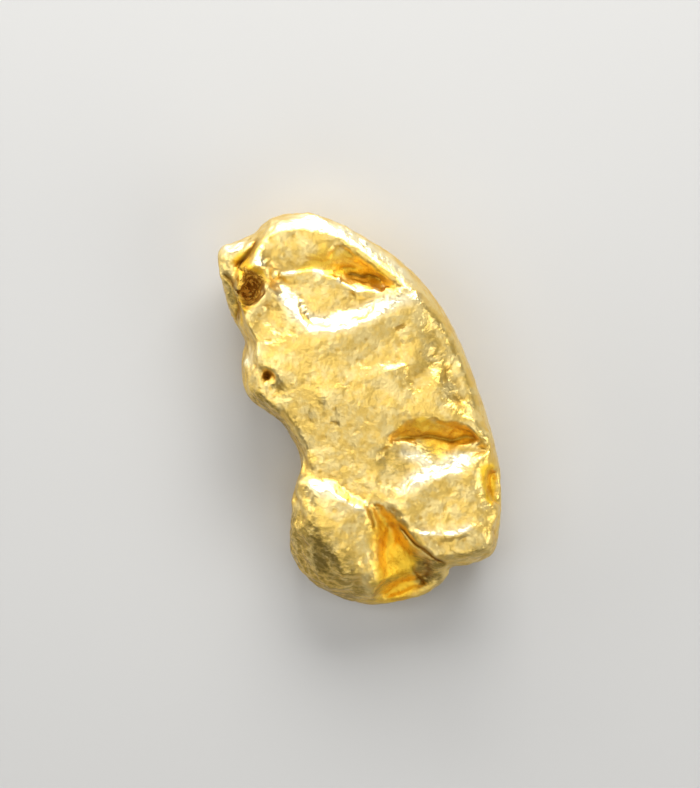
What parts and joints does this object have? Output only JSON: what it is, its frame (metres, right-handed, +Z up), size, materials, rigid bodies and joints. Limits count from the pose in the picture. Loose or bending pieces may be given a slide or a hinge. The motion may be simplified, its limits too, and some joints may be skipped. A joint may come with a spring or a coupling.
{
  "type": "gold nugget",
  "caption": "Water-worn nugget of native gold: a curved flattened lump with a rimmed upper end, folded pockets and a cleft lower end, lying on its worn underside.",
  "frame": {"origin": "middle of the lump's outline seen from above, on the plane it rests on", "axes": "+Y along the lump's length, towards the rimmed end with the ear; +Z up out of the resting plane; +X to the right seen from above"},
  "size_m": [0.0086, 0.012, 0.0031],
  "materials": {
    "native_gold": "worn satin native gold, paler on rubbed highs and deeper in the folds, with a little brown iron stain in one pit"
  },
  "bodies": {
    "root": {"nugget": "native_gold"}
  },
  "joints": []
}
